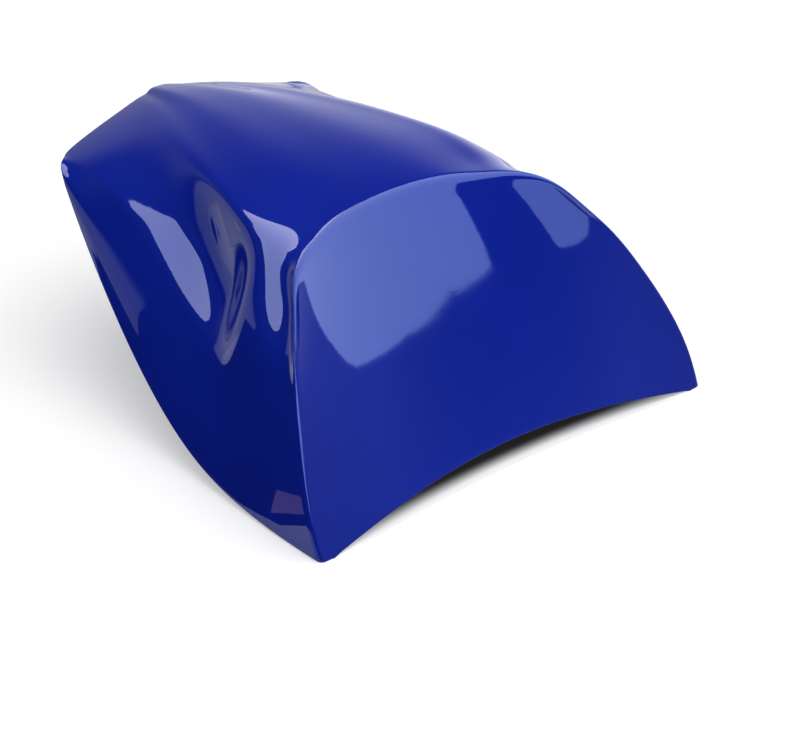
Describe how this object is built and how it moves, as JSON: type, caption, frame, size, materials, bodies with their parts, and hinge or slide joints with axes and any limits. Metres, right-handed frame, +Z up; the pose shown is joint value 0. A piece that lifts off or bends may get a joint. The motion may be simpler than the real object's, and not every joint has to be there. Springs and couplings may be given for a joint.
{
  "type": "motorbike seat cowl",
  "caption": "Painted moulded cowl for the rear of a motorbike seat, with a leaning dished face, a tapering deck, scooped flanks and an open underside.",
  "frame": {"origin": "midway between the screw bosses, level with their lower faces", "axes": "+X across the bike, +Y from the front face to the tail, +Z up"},
  "size_m": [0.26, 0.287, 0.1261],
  "materials": {
    "blue_gloss_paint": "gloss"
  },
  "bodies": {
    "root": {"cowl_shell": "blue_gloss_paint"}
  },
  "joints": []
}
